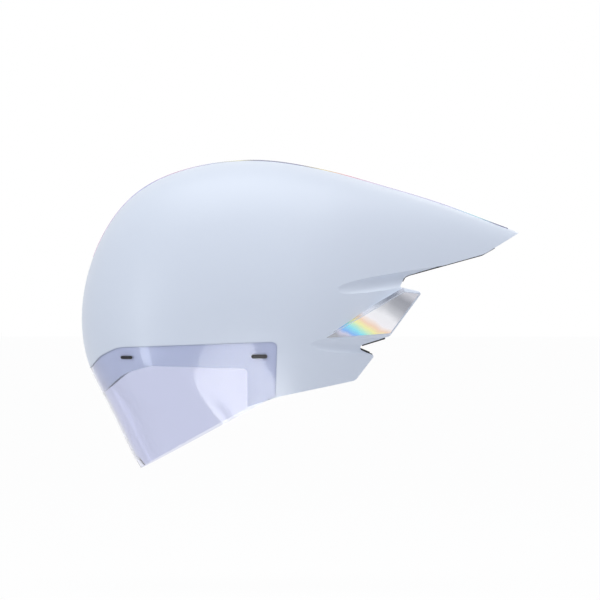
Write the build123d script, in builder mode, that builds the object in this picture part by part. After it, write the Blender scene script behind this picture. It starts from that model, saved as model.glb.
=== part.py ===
import os
from math import cos, hypot, pi, radians, sin, tan

from build123d import *

os.makedirs("parts", exist_ok=True)

# Overall sizes, in millimetres: the front is at -X, the tail at +X, the left side at -Y
LENGTH = 380
HEIGHT = 268
WIDTH = 204
WALL = 2.2
FOAM_GAP = 0.3
SOFT_GAP = 0.3
OVERRUN = 60

# The front sections fan about a cross axis, the hub, and stand upright behind it
HUB_X = 30
HUB_Z = -120
HUB_RADIUS = 8
ARCH_POWER = 2.4
ARCH_STEPS = 6
SHOULDER_SHARE = 0.6

# Each station: crest place in shares of LENGTH and HEIGHT, base half width and bulge in shares of WIDTH
STATION_SHARES = [
    (-0.209, -0.527, 0.385, 0.00),
    (-0.232, -0.458, 0.385, 0.01),
    (-0.287, -0.302, 0.385, 0.03),
    (-0.317, -0.218, 0.385, 0.05),
    (-0.344, -0.140, 0.380, 0.07),
    (-0.365, 0.026, 0.375, 0.10),
    (-0.337, 0.231, 0.370, 0.12),
    (-0.245, 0.426, 0.365, 0.14),
    (-0.117, 0.514, 0.360, 0.160),
    (0.048, 0.539, 0.350, 0.185),
    (0.135, 0.524, 0.345, 0.188),
    (0.227, 0.496, 0.320, 0.175),
    (0.319, 0.459, 0.270, 0.155),
    (0.411, 0.421, 0.210, 0.130),
    (0.502, 0.377, 0.155, 0.100),
    (0.583, 0.333, 0.110, 0.070),
    (0.663, 0.283, 0.070, 0.040),
]

# Visor: it lies flush with the shell in a stepped recess, over a flange
VISOR_THICKNESS = 2.0
VISOR_BACK_GAP = 0.4
SEAM_GAP = 0.35
FLANGE_INSET = VISOR_THICKNESS + VISOR_BACK_GAP
NOSE_RADIUS = 25
NOSE_HEIGHT = 9
VISOR_TIP_SHARE = -0.458

# Magnet bars in the visor and the flange: x, z, length and height, shares of LENGTH and HEIGHT by turns
MAGNET_SHARES = [
    (-0.256, -0.099, 0.0271, 0.0104),
    (0.044, -0.095, 0.0361, 0.0127),
]

# Side outlines: rows of x share of LENGTH, z share of HEIGHT and corner radius share of LENGTH
VISOR_OUTLINE_SHARES = [
    (-0.450, -0.250, 0.000),
    (-0.350, -0.146, 0.020),
    (-0.318, -0.094, 0.060),
    (-0.277, -0.066, 0.060),
    (0.085, -0.047, 0.013),
    (0.081, -0.221, 0.008),
    (-0.227, -0.460, 0.000),
    (-0.250, -0.520, 0.000),
    (-0.450, -0.520, 0.000),
]
SHELL_OUTLINE_SHARES = [
    (-0.450, -0.420, 0.000),
    (-0.345, -0.255, 0.080),
    (-0.262, -0.150, 0.100),
    (-0.200, -0.126, 0.060),
    (0.017, -0.134, 0.009),
    (0.017, -0.256, 0.000),
    (0.089, -0.223, 0.100),
    (0.260, -0.172, 0.016),
    (0.303, -0.093, 0.004),
    (0.271, -0.074, 0.003),
    (0.272, -0.060, 0.006),
    (0.337, -0.031, 0.012),
    (0.411, 0.110, 0.006),
    (0.361, 0.126, 0.003),
    (0.372, 0.160, 0.020),
    (0.556, 0.233, 0.060),
    (0.634, 0.300, 0.000),
    (0.720, 0.374, 0.000),
    (0.720, 0.600, 0.000),
    (-0.450, 0.600, 0.000),
]
LINER_OUTLINE_SHARES = [
    (-0.450, -0.102, 0.000),
    (0.262, -0.102, 0.006),
    (0.264, -0.052, 0.006),
    (0.333, -0.024, 0.012),
    (0.400, 0.108, 0.004),
    (0.351, 0.124, 0.003),
    (0.366, 0.166, 0.010),
    (0.500, 0.219, 0.000),
    (0.500, 0.600, 0.000),
    (-0.450, 0.600, 0.000),
]

# Side fin: its outer face is a flat facet, wide at the back, that stands proud of the narrowing body
FIN_FACE_SHARES = [
    (0.185, -0.040),
    (0.370, 0.113),
    (0.407, 0.106),
    (0.339, -0.024),
]
FIN_FRONT_Y = 95
FIN_BACK_Y = 80
FIN_ROOT_Y = 35
FIN_BEVEL = 2.6
FIN_BEVEL_DEPTH = 5
FOIL_THICKNESS = 0.4
FOIL_MARGIN = 0.8

# Air channels above and below the fin: round cuts that deepen backwards. Each has a front and a back point
# (x, y, z in shares of LENGTH, WIDTH and HEIGHT) and a radius in shares of HEIGHT
CHANNEL_SHARES = [
    ((0.2316, 0.4706, 0.1231), (0.3526, 0.3554, 0.1493), 0.0317),
    ((0.1632, 0.5137, -0.0597), (0.2763, 0.4412, -0.0634), 0.0299),
]

# Foil stripe along the crown: rows of x share of LENGTH and half width share of WIDTH
STRIPE_SHARES = [
    (-0.345, 0.034),
    (-0.150, 0.059),
    (0.150, 0.064),
    (0.420, 0.039),
    (0.612, 0.015),
]
STRIPE_LOW_SHARE = 0.225

# The head sits pitched forward: its space is a dome on an oval column
HEAD_TILT = 12
HEAD_LONG = 102
HEAD_HALF = 80
HEAD_RISE = 106
HEAD_STEPS = 6
HEAD_CAP_ANGLE = 87
NECK_HALF = 46
NECK_TOP = 8
NECK_FRONT = 40
NECK_CORNER = 24

# Pads, band and webbing lie on the wall of the head space, each at its own depth
PAD_THICKNESS = 5
BAND_THICKNESS = 1.4
BAND_WIDTH = 10
BAND_DEPTH = SOFT_GAP
FOREHEAD_DEPTH = BAND_DEPTH + BAND_THICKNESS + SOFT_GAP
WEB_DEPTH = PAD_THICKNESS + SOFT_GAP * 2
WEB_THICKNESS = 1.4

# Forehead, side, crown and ear pads
FOREHEAD_PAD = (110, 26, 9)
FOREHEAD_PAD_Z = 10
SIDE_PAD = (62, 20, 8)
SIDE_PAD_X = 4
SIDE_PAD_Z = 33
CROWN_PAD = (96, 18, 8)
CROWN_PAD_PITCH = 34
EAR_PAD = (48, 20, 8)
EAR_PAD_X = 60
EAR_PAD_Z = -38.5
EAR_PAD_THICKNESS = 6

# Temple anchors join the band and the belts to the foam
TEMPLE_X = -4
TEMPLE_RADIUS = 7
TEMPLE_PIN_RADIUS = 2.5
TEMPLE_PIN_DEPTH = 8
TEMPLE_DISC = 2
PIN_CLEARANCE = 0.1

# The rear fit system has its own frame: x backwards and down, z up
FIT_TILT = 15
RACK_X = 91
RACK_THICKNESS = 3
RACK_HEIGHT = 5
RACK_CLEARANCE = 0.3
RACK_START = 41
RACK_TAB = 3.5
RACK_TAIL_TEETH = 4
BELT_WIDTH = 9
BELT_THICKNESS = 1.6
BELT_DEPTH = 3.5
BELT_MIDDLE = (60, 61)
CRADLE_THICKNESS = 2.2
CRADLE_HEIGHT = 32
CRADLE_HALF = 46
CRADLE_SWEEP = 24
CRADLE_PAD_THICKNESS = 4
CRADLE_PAD = (30, 26, 7)
CRADLE_PAD_Y = 27
CRADLE_SLOT_Y = 38
CRADLE_SLOT_LENGTH = 10
CRADLE_SLOT_HEIGHT = 5
HOUSING_LENGTH = 56
HOUSING_HEIGHT = 32
HOUSING_CORNER = 9
COVER_THICKNESS = 1.6
HOUSING_BACK = 2.2
GEAR_TEETH = 12
GEAR_MODULE = 0.9
GEAR_ADDENDUM_SHARE = 0.7
GEAR_DEDENDUM_SHARE = 1.0
GEAR_BACKLASH = 0.35
PRESSURE_ANGLE = 25
RACK_PHASE_SHARE = 0.5
SHAFT_RADIUS = 3
SHAFT_CLEARANCE = 0.08
SHAFT_REACH_SHARE = 0.6
KNOB_RADIUS = 14
KNOB_THICKNESS = 8
KNOB_GRIPS = 12
KNOB_CHAMFER = 0.8
KNOB_GRIP_RADIUS = 2.2
KNOB_RECESS_RADIUS = 11
SPRING_THICKNESS = 0.6
SPRING_RADIUS = 9.5
SPRING_SLOT_RADIUS = 6.6
SPRING_SLOTS = 3
SPRING_SLOT_LENGTH = 7
SPRING_SLOT_WIDTH = 1.2
RUN_GAP = 0.3

# Height rail in the foam, with a runner that carries the cradle by a short strap
RAIL_WIDTH = 18
RAIL_DEPTH = 9
RAIL_LOW = -10
RAIL_HIGH = 30
RAIL_FACE_X = 99
RAIL_MOUTH = 12
SLOT_NECK = 5
SLOT_HEAD = 10
SLOT_STEP = 2.4
SLOT_DEPTH = 5.4
RUNNER_HEIGHT = 12
RUNNER_LOW = -9
RUNNER_PLATE = 2
CARRIER_STRAP_WIDTH = 12
CARRIER_STRAP_THICKNESS = 1.6

# Webbing and buckle, folded into the head space
WEB_WIDTH = 15
WEB_Z = 26
DIVIDER_X = 28
DIVIDER = (24, 32, 4)
DIVIDER_Z = 22
DIVIDER_THICKNESS = 3
LEG_WIDTH = 9
FRONT_ANCHOR = (-24, 14)
REAR_ANCHOR = (64, 8)
FRONT_LEG_DROP = -4
REAR_LEG_DROP = -8
ANCHOR_RADIUS = 6.5
ANCHOR_DEPTH = 5
BUCKLE_ANGLE = 40
BUCKLE_LENGTH = 32
BUCKLE_HEIGHT = 19
BUCKLE_THICKNESS = 7
BUCKLE_INSET = 0.8
TONGUE_NECK = 2.4
TONGUE_HEAD = 4.6
TONGUE_STEP = 3
TONGUE_THICKNESS = 2.4
TONGUE_HEIGHT = 11
SIDES = ((-1, "left"), (1, "right"))

head_plane = Plane(
    origin=(0, 0, 0),
    x_dir=(cos(radians(HEAD_TILT)), 0, sin(radians(HEAD_TILT))),
    z_dir=(-sin(radians(HEAD_TILT)), 0, cos(radians(HEAD_TILT))),
)
fit_plane = Plane(
    origin=(TEMPLE_X, 0, 0),
    x_dir=(cos(radians(FIT_TILT)), 0, -sin(radians(FIT_TILT))),
    z_dir=(sin(radians(FIT_TILT)), 0, cos(radians(FIT_TILT))),
)


def save(part, name):
    part.label = name
    export_step(part, f"parts/{name}.step")


def dial_plane(distance):
    origin = fit_plane.from_local_coords(Vector(distance, 0, 0))
    return Plane(origin=origin, x_dir=(0, 1, 0), z_dir=fit_plane.x_dir)


def station_plane(crest_x, crest_z):
    if crest_x < HUB_X:
        root = Vector(HUB_X, 0, HUB_Z)
        up = (Vector(crest_x, 0, crest_z) - root).normalized()
    else:
        root = Vector(crest_x, 0, HUB_Z)
        up = Vector(0, 0, 1)
    return Plane(origin=root, x_dir=(0, 1, 0), z_dir=Vector(0, 1, 0).cross(up))


def arch_points(rise, base_half, bulge):
    points = []
    for step in range(-ARCH_STEPS, ARCH_STEPS + 1):
        angle = radians(90) * (1 - abs(step) / ARCH_STEPS)
        height_share = sin(angle) ** (2 / ARCH_POWER)
        width_share = cos(angle) ** (2 / ARCH_POWER) if step else 0
        swell = sin(pi / 2 * min(1, height_share / SHOULDER_SHARE))
        half = (base_half + bulge * swell) * width_share
        side = 1 if step > 0 else -1
        points.append((side * half, HUB_RADIUS + height_share * (rise - HUB_RADIUS)))
    return points


def body_form(inset, channels=()):
    with BuildPart() as form:
        for x_share, z_share, base_share, bulge_share in STATION_SHARES:
            crest_x = x_share * LENGTH
            crest_z = z_share * HEIGHT
            if crest_x < HUB_X:
                rise = hypot(crest_x - HUB_X, crest_z - HUB_Z) - inset
            else:
                rise = crest_z - HUB_Z - inset
            with BuildSketch(station_plane(crest_x, crest_z)):
                with BuildLine():
                    arch = Spline(*arch_points(rise, base_share * WIDTH - inset, bulge_share * WIDTH))
                    Line(arch @ 1, arch @ 0)
                make_face()
        loft()
        for near_shares, far_shares, radius_share in channels:
            for side, _ in SIDES:
                ends = [(x * LENGTH, side * y * WIDTH, z * HEIGHT) for x, y, z in (near_shares, far_shares)]
                front, back = Vector(ends[0]), Vector(ends[1])
                with BuildSketch(Plane(origin=front, z_dir=(back - front).normalized())):
                    Circle(radius_share * HEIGHT + inset)
                extrude(amount=(back - front).length + OVERRUN, mode=Mode.SUBTRACT)
    return form.part


def side_prism(outline_shares, grow=0):
    points = [(x * LENGTH, z * HEIGHT) for x, z, _ in outline_shares]
    radii = [radius * LENGTH for _, _, radius in outline_shares]
    with BuildPart() as prism:
        with BuildSketch(Plane.XZ):
            with BuildLine():
                FilletPolyline(*points, radius=radii, close=True)
            make_face()
            if grow:
                offset(amount=grow, kind=Kind.INTERSECTION)
        extrude(amount=WIDTH, both=True)
    return prism.part


def fin_face_plane(side, inset):
    front_x = FIN_FACE_SHARES[0][0] * LENGTH
    back_x = FIN_FACE_SHARES[2][0] * LENGTH
    slope = Vector(back_x - front_x, side * (FIN_BACK_Y - FIN_FRONT_Y), 0).normalized()
    outward = Vector(0, 0, side).cross(slope)
    return Plane(origin=(front_x, side * FIN_FRONT_Y, 0), z_dir=outward).offset(-inset)


def fin_prism(side, grow):
    with BuildPart() as prism:
        with BuildSketch(Plane.XZ.offset(-side * FIN_ROOT_Y)):
            with BuildLine():
                Polyline(*[(x * LENGTH, z * HEIGHT) for x, z in FIN_FACE_SHARES], close=True)
            make_face()
            offset(amount=grow, kind=Kind.INTERSECTION)
        extrude(amount=-side * WIDTH / 2)
    return prism.part


def fin_form(side, inset):
    face = fin_face_plane(side, inset)
    with BuildPart() as form:
        add(fin_prism(side, FIN_BEVEL - inset))
        split(bisect_by=face, keep=Keep.BOTTOM)
        if not inset:
            rim = form.faces().sort_by(Axis.Y)[-1 if side > 0 else 0]
            chamfer(rim.edges(), length=FIN_BEVEL, length2=FIN_BEVEL_DEPTH, reference=rim)
    return form.part


def head_form(depth):
    with BuildPart() as form:
        with BuildSketch(head_plane):
            Ellipse(HEAD_LONG - depth, HEAD_HALF - depth)
        extrude(amount=-HEAD_RISE)
        for step in range(HEAD_STEPS + 1):
            angle = radians(HEAD_CAP_ANGLE) * step / HEAD_STEPS
            with BuildSketch(head_plane.offset((HEAD_RISE - depth) * sin(angle))):
                Ellipse((HEAD_LONG - depth) * cos(angle), (HEAD_HALF - depth) * cos(angle))
        loft()
    return form.part


def head_layer(depth, thickness):
    with BuildPart() as layer:
        add(head_form(depth))
        add(head_form(depth + thickness), mode=Mode.SUBTRACT)
    return layer.part


body_foil = body_form(-FOIL_THICKNESS)
body_outer = body_form(0, CHANNEL_SHARES)
body_visor_back = body_form(VISOR_THICKNESS)
body_wall = body_form(WALL, CHANNEL_SHARES)
body_flange = body_form(FLANGE_INSET)
body_flange_back = body_form(FLANGE_INSET + WALL)

with BuildPart() as magnet_bars:
    for x_share, z_share, long_share, high_share in MAGNET_SHARES:
        with BuildSketch(Plane.XZ):
            with Locations((x_share * LENGTH, z_share * HEIGHT)):
                SlotOverall(long_share * LENGTH, high_share * HEIGHT)
        extrude(amount=WIDTH, both=True)

# Outer shell with its fins, its visor recess and the pockets of the keeper plates
with BuildPart() as shell_inner:
    add(body_wall)
    add(side_prism(VISOR_OUTLINE_SHARES, WALL), mode=Mode.SUBTRACT)
    add(body_flange_back)

with BuildPart() as visor_recess:
    add(side_prism(VISOR_OUTLINE_SHARES))
    add(body_flange, mode=Mode.SUBTRACT)

fins = [fin_form(side, 0) for side, _ in SIDES]

with BuildPart() as outer_shell:
    add(body_outer)
    for fin in fins:
        add(fin)
    add(visor_recess.part, mode=Mode.SUBTRACT)
    add(shell_inner.part, mode=Mode.SUBTRACT)
    for side, _ in SIDES:
        add(fin_form(side, WALL), mode=Mode.SUBTRACT)
    add(side_prism(SHELL_OUTLINE_SHARES), mode=Mode.INTERSECT)
    add(magnet_bars.part, mode=Mode.SUBTRACT)
save(outer_shell.part, "outer_shell")

with BuildPart() as magnet_keepers:
    add(magnet_bars.part)
    add(body_flange, mode=Mode.INTERSECT)
    add(body_flange_back, mode=Mode.SUBTRACT)
save(magnet_keepers.part, "magnet_keepers")

# Visor lens with its magnets
with BuildPart() as visor_lens:
    add(side_prism(VISOR_OUTLINE_SHARES, -SEAM_GAP))
    add(body_outer, mode=Mode.INTERSECT)
    add(body_visor_back, mode=Mode.SUBTRACT)
    with BuildSketch(Plane.YZ.offset(-LENGTH / 2)):
        with Locations((0, VISOR_TIP_SHARE * HEIGHT + NOSE_HEIGHT - NOSE_RADIUS)):
            Circle(NOSE_RADIUS)
    extrude(amount=LENGTH / 2, mode=Mode.SUBTRACT)
    add(magnet_bars.part, mode=Mode.SUBTRACT)
save(visor_lens.part, "visor_lens")

with BuildPart() as visor_magnets:
    add(magnet_bars.part)
    add(body_outer, mode=Mode.INTERSECT)
    add(body_visor_back, mode=Mode.SUBTRACT)
save(visor_magnets.part, "visor_magnets")

# Foil stripe along the crown, and the foil panels of the fins
with BuildPart() as crown_foil:
    with BuildSketch(Plane.XY.offset(STRIPE_LOW_SHARE * HEIGHT)):
        with BuildLine():
            right = Spline(*[(share * LENGTH, half * WIDTH) for share, half in STRIPE_SHARES])
            left = Spline(*[(share * LENGTH, -half * WIDTH) for share, half in STRIPE_SHARES])
            Line(left @ 0, right @ 0)
            Line(left @ 1, right @ 1)
        make_face()
    extrude(amount=HEIGHT)
    add(body_foil, mode=Mode.INTERSECT)
    add(body_outer, mode=Mode.SUBTRACT)
save(crown_foil.part, "crown_foil")

bevel_x = (FIN_FACE_SHARES[0][0] + FIN_FACE_SHARES[1][0]) / 2 * LENGTH
bevel_z = (FIN_FACE_SHARES[0][1] + FIN_FACE_SHARES[1][1]) / 2 * HEIGHT + FIN_BEVEL * 2
for (side, side_name), fin in zip(SIDES, fins):
    bevel_middle = (bevel_x, side * (FIN_FRONT_Y + FIN_BACK_Y) / 2, bevel_z)
    with BuildPart() as fin_foil:
        add(fin_prism(side, -FOIL_MARGIN))
        split(bisect_by=fin_face_plane(side, -FOIL_THICKNESS), keep=Keep.BOTTOM)
        split(bisect_by=fin_face_plane(side, 0), keep=Keep.TOP)
        extrude(fin.faces().sort_by_distance(bevel_middle)[0], amount=FOIL_THICKNESS)
        add(body_outer, mode=Mode.SUBTRACT)
    save(fin_foil.part, f"fin_foil_{side_name}")

# Foam liner: it fills the shell round the head space, with the neck arch and pockets for what it carries
with BuildPart() as temple_pins:
    for side, _ in SIDES:
        with BuildSketch(Plane.XZ):
            with Locations((TEMPLE_X, 0)):
                Circle(TEMPLE_PIN_RADIUS)
        extrude(amount=-side * WIDTH)

with BuildPart() as anchor_bars:
    for side, _ in SIDES:
        with BuildSketch(Plane.XZ):
            with Locations(FRONT_ANCHOR, REAR_ANCHOR):
                Circle(ANCHOR_RADIUS)
        extrude(amount=-side * WIDTH)

foam_outer = body_form(WALL + FOAM_GAP, CHANNEL_SHARES)
foam_flange = body_form(FLANGE_INSET + WALL + FOAM_GAP)

with BuildPart() as height_rail:
    with BuildSketch(head_plane.offset(RAIL_LOW)):
        with Locations((RAIL_FACE_X, 0)):
            Rectangle(RAIL_DEPTH, RAIL_WIDTH, align=(Align.MIN, Align.CENTER))
            Rectangle(SLOT_DEPTH, SLOT_NECK, align=(Align.MIN, Align.CENTER), mode=Mode.SUBTRACT)
        with Locations((RAIL_FACE_X + SLOT_STEP, 0)):
            Rectangle(
                SLOT_DEPTH - SLOT_STEP, SLOT_HEAD, align=(Align.MIN, Align.CENTER), mode=Mode.SUBTRACT
            )
    extrude(amount=RAIL_HIGH - RAIL_LOW)
save(height_rail.part, "height_rail")

with BuildPart() as pockets:
    add(anchor_bars.part)
    add(head_form(-ANCHOR_DEPTH), mode=Mode.INTERSECT)
    for pin in temple_pins.part.solids():
        add(pin & head_form(-TEMPLE_PIN_DEPTH))

with BuildPart() as eps_liner:
    add(foam_outer)
    add(side_prism(VISOR_OUTLINE_SHARES, WALL + FOAM_GAP), mode=Mode.SUBTRACT)
    add(foam_flange)
    add(side_prism(LINER_OUTLINE_SHARES), mode=Mode.INTERSECT)
    add(head_form(0), mode=Mode.SUBTRACT)
    with BuildSketch(Plane.YZ.offset(NECK_FRONT)):
        with Locations((0, NECK_TOP)):
            RectangleRounded(NECK_HALF * 2, HEIGHT, NECK_CORNER, align=(Align.CENTER, Align.MAX))
    extrude(amount=LENGTH / 2, mode=Mode.SUBTRACT)
    with BuildSketch(head_plane.offset(RAIL_LOW)):
        with Locations((RAIL_FACE_X - RAIL_MOUTH, 0)):
            Rectangle(RAIL_DEPTH + RAIL_MOUTH, RAIL_WIDTH, align=(Align.MIN, Align.CENTER))
    extrude(amount=RAIL_HIGH - RAIL_LOW, mode=Mode.SUBTRACT)
    add(pockets.part, mode=Mode.SUBTRACT)
save(eps_liner.part, "eps_liner")

# Head band round the front, and the temple anchors that pin it and the belts to the foam
with BuildPart() as head_band:
    add(head_layer(BAND_DEPTH, BAND_THICKNESS))
    with BuildSketch(Plane.XZ):
        with Locations((TEMPLE_X + TEMPLE_RADIUS, 0)):
            Rectangle(LENGTH, BAND_WIDTH, align=(Align.MAX, Align.CENTER), rotation=HEAD_TILT)
    extrude(amount=WIDTH, both=True, mode=Mode.INTERSECT)
    add(temple_pins.part, mode=Mode.SUBTRACT)
save(head_band.part, "head_band")

with BuildPart() as pins:
    add(head_layer(-TEMPLE_PIN_DEPTH, TEMPLE_PIN_DEPTH + BAND_DEPTH + BAND_THICKNESS))
    with BuildSketch(Plane.XZ):
        with Locations((TEMPLE_X, 0)):
            Circle(TEMPLE_PIN_RADIUS)
    extrude(amount=WIDTH, both=True, mode=Mode.INTERSECT)

with BuildPart() as temple_anchors:
    with BuildSketch(Plane.XZ):
        with Locations((TEMPLE_X, 0)):
            Circle(TEMPLE_RADIUS)
    extrude(amount=WIDTH, both=True)
    add(head_layer(BAND_DEPTH + BAND_THICKNESS, TEMPLE_DISC), mode=Mode.INTERSECT)
    add(pins.part)
save(temple_anchors.part, "temple_anchors")

# Pads
with BuildPart() as forehead_block:
    with BuildSketch(Plane.YZ):
        with Locations((0, FOREHEAD_PAD_Z)):
            RectangleRounded(*FOREHEAD_PAD)
    extrude(amount=-LENGTH / 2)

with BuildPart() as forehead_pad:
    add(head_layer(SOFT_GAP, FOREHEAD_DEPTH + PAD_THICKNESS / 2))
    with BuildSketch(Plane.XZ):
        Rectangle(LENGTH, BAND_WIDTH + SOFT_GAP * 2, rotation=HEAD_TILT)
    extrude(amount=WIDTH, both=True, mode=Mode.SUBTRACT)
    add(head_layer(FOREHEAD_DEPTH, PAD_THICKNESS))
    add(forehead_block.part, mode=Mode.INTERSECT)
save(forehead_pad.part, "forehead_pad")

with BuildPart() as crown_pads:
    add(head_layer(SOFT_GAP, PAD_THICKNESS))
    with BuildSketch(head_plane):
        with GridLocations(0, CROWN_PAD_PITCH, 1, 3):
            RectangleRounded(*CROWN_PAD)
    extrude(amount=HEIGHT, mode=Mode.INTERSECT)
save(crown_pads.part, "crown_pads")

for side, side_name in SIDES:
    with BuildPart() as side_pad:
        add(head_layer(SOFT_GAP, PAD_THICKNESS))
        with BuildSketch(Plane.XZ):
            with Locations((SIDE_PAD_X, SIDE_PAD_Z)):
                RectangleRounded(*SIDE_PAD)
        extrude(amount=-side * WIDTH, mode=Mode.INTERSECT)
    save(side_pad.part, f"side_pad_{side_name}")

foam_ear = body_form(WALL + FOAM_GAP + EAR_PAD_THICKNESS)
for side, side_name in SIDES:
    with BuildPart() as ear_pad:
        with BuildSketch(Plane.XZ):
            with Locations((EAR_PAD_X, EAR_PAD_Z)):
                RectangleRounded(*EAR_PAD)
        extrude(amount=-side * WIDTH)
        add(foam_outer, mode=Mode.INTERSECT)
        add(foam_ear, mode=Mode.SUBTRACT)
    save(ear_pad.part, f"ear_pad_{side_name}")

# Rear fit system: cradle, pads, housing, cover, racks, pinion, detent spring and dial
cradle_front = RACK_X - RACK_THICKNESS / 2 - RACK_CLEARANCE - COVER_THICKNESS - CRADLE_THICKNESS
cover_front = cradle_front + CRADLE_THICKNESS
housing_front = cover_front + COVER_THICKNESS
housing_back = RACK_X + RACK_THICKNESS / 2 + RACK_CLEARANCE + HOUSING_BACK
pitch_radius = GEAR_TEETH * GEAR_MODULE / 2
rack_pitch = pi * GEAR_MODULE
knob_front = housing_back + RUN_GAP
tip_radius = pitch_radius + GEAR_ADDENDUM_SHARE * GEAR_MODULE
root_radius = pitch_radius - GEAR_DEDENDUM_SHARE * GEAR_MODULE
cradle_radius = (CRADLE_HALF**2 + CRADLE_SWEEP**2) / (2 * CRADLE_SWEEP)


def cradle_arc(offset):
    share = 1 - offset / cradle_radius
    apex = cradle_front - offset
    end = (apex - CRADLE_SWEEP * share, CRADLE_HALF * share)
    return ThreePointArc((end[0], -end[1]), (apex, 0), end)


with BuildPart() as cradle:
    with BuildSketch(fit_plane.offset(-CRADLE_HEIGHT / 2)):
        with BuildLine():
            arc = cradle_arc(-CRADLE_THICKNESS / 2)
        trace(arc, line_width=CRADLE_THICKNESS)
    extrude(amount=CRADLE_HEIGHT)
    with BuildSketch(dial_plane(0)):
        with Locations((-CRADLE_SLOT_Y, 0), (CRADLE_SLOT_Y, 0)):
            SlotOverall(CRADLE_SLOT_LENGTH, CRADLE_SLOT_HEIGHT)
    extrude(amount=LENGTH, mode=Mode.SUBTRACT)
save(cradle.part, "cradle")

with BuildPart() as cradle_pads:
    with BuildSketch(fit_plane.offset(-CRADLE_HEIGHT / 2)):
        with BuildLine():
            arc = cradle_arc(SOFT_GAP + CRADLE_PAD_THICKNESS / 2)
        trace(arc, line_width=CRADLE_PAD_THICKNESS)
    extrude(amount=CRADLE_HEIGHT)
    with BuildSketch(dial_plane(0)):
        with Locations((-CRADLE_PAD_Y, 0), (CRADLE_PAD_Y, 0)):
            RectangleRounded(*CRADLE_PAD)
    extrude(amount=LENGTH, mode=Mode.INTERSECT)
save(cradle_pads.part, "cradle_pads")

with BuildPart() as housing_cover:
    with BuildSketch(dial_plane(cover_front)):
        RectangleRounded(HOUSING_LENGTH, HOUSING_HEIGHT, HOUSING_CORNER)
    extrude(amount=COVER_THICKNESS)
    add(cradle.part, mode=Mode.SUBTRACT)
save(housing_cover.part, "housing_cover")

# The racks run in one straight channel, above and below the pinion
rack_near = pitch_radius + GEAR_DEDENDUM_SHARE * GEAR_MODULE
channel_half = rack_near + RACK_HEIGHT + RACK_CLEARANCE

with BuildPart() as dial_housing:
    with BuildSketch(dial_plane(housing_front)):
        RectangleRounded(HOUSING_LENGTH, HOUSING_HEIGHT, HOUSING_CORNER)
    extrude(amount=housing_back - housing_front)
    with BuildSketch(dial_plane(housing_front)):
        Rectangle(HOUSING_LENGTH, channel_half * 2)
    extrude(amount=RACK_THICKNESS + RACK_CLEARANCE * 2, mode=Mode.SUBTRACT)
    with BuildSketch(dial_plane(housing_front)):
        Circle(SHAFT_RADIUS + SHAFT_CLEARANCE)
    extrude(amount=LENGTH / 2, mode=Mode.SUBTRACT)
save(dial_housing.part, "dial_housing")

rack_end = -rack_pitch * RACK_TAIL_TEETH
rack_foot = RACK_START - RACK_TAB


def rack_points(side):
    step = rack_pitch / 4
    low = rack_near
    high = pitch_radius - GEAR_ADDENDUM_SHARE * GEAR_MODULE
    slim = GEAR_BACKLASH / 2
    flank = (low - high) * tan(radians(PRESSURE_ANGLE)) / 2
    points = [
        (RACK_START, -BELT_WIDTH / 2),
        (RACK_START, low + RACK_HEIGHT),
        (rack_end, low + RACK_HEIGHT),
        (rack_end, low),
    ]
    for tooth in range(int((rack_foot - rack_end) / rack_pitch)):
        middle = rack_end + rack_pitch * (tooth + RACK_PHASE_SHARE)
        points.append((middle - step + slim - flank, low))
        points.append((middle - step + slim + flank, high))
        points.append((middle + step - slim - flank, high))
        points.append((middle + step - slim + flank, low))
    points += [(rack_foot, low), (rack_foot, -BELT_WIDTH / 2)]
    return [(side * across, side * up) for across, up in points]


for side, side_name in SIDES:
    with BuildPart() as rack:
        with BuildSketch(dial_plane(RACK_X - RACK_THICKNESS / 2)):
            with BuildLine():
                Polyline(*rack_points(side), close=True)
            make_face()
        extrude(amount=RACK_THICKNESS)
    save(rack.part, f"rack_{side_name}")

# Belts sweep from the temple anchors round to the racks
for side, side_name in SIDES:
    rack_middle = side * (rack_near + RACK_HEIGHT / 2)
    with BuildPart() as belt:
        with BuildSketch(fit_plane.offset(-BELT_WIDTH / 2)):
            with BuildLine():
                path = Spline(
                    (TEMPLE_RADIUS + SOFT_GAP, side * (HEAD_HALF - BELT_DEPTH)),
                    (BELT_MIDDLE[0], side * BELT_MIDDLE[1]),
                    (RACK_X, side * RACK_START),
                    tangents=[(1, 0), (0, -side)],
                )
            trace(path, line_width=BELT_THICKNESS)
        extrude(amount=BELT_WIDTH)
    save(belt.part, f"side_belt_{side_name}")

with BuildPart() as dial_pinion:
    with BuildSketch(dial_plane(RACK_X - RACK_THICKNESS / 2)):
        Circle(root_radius)
        with BuildLine():
            half_root = rack_pitch / 4 + (pitch_radius - root_radius) * tan(radians(PRESSURE_ANGLE))
            half_tip = rack_pitch / 4 - (tip_radius - pitch_radius) * tan(radians(PRESSURE_ANGLE))
            slim = GEAR_BACKLASH / 2
            Polyline(
                (0, half_root - slim),
                (root_radius, half_root - slim),
                (tip_radius, half_tip - slim),
                (tip_radius, slim - half_tip),
                (root_radius, slim - half_root),
                (0, slim - half_root),
                close=True,
            )
        tooth = make_face()
        with PolarLocations(0, GEAR_TEETH):
            add(tooth)
    extrude(amount=RACK_THICKNESS)
    with BuildSketch(dial_plane(RACK_X - RACK_THICKNESS / 2)):
        Circle(SHAFT_RADIUS)
    extrude(amount=knob_front + KNOB_THICKNESS * SHAFT_REACH_SHARE - RACK_X + RACK_THICKNESS / 2)
save(dial_pinion.part, "dial_pinion")

with BuildPart() as detent_spring:
    with BuildSketch(dial_plane(housing_back)):
        Circle(SPRING_RADIUS)
        Circle(SHAFT_RADIUS + RUN_GAP, mode=Mode.SUBTRACT)
        with PolarLocations(SPRING_SLOT_RADIUS, SPRING_SLOTS):
            SlotOverall(SPRING_SLOT_LENGTH, SPRING_SLOT_WIDTH, rotation=90, mode=Mode.SUBTRACT)
    extrude(amount=SPRING_THICKNESS)
save(detent_spring.part, "detent_spring")

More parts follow.
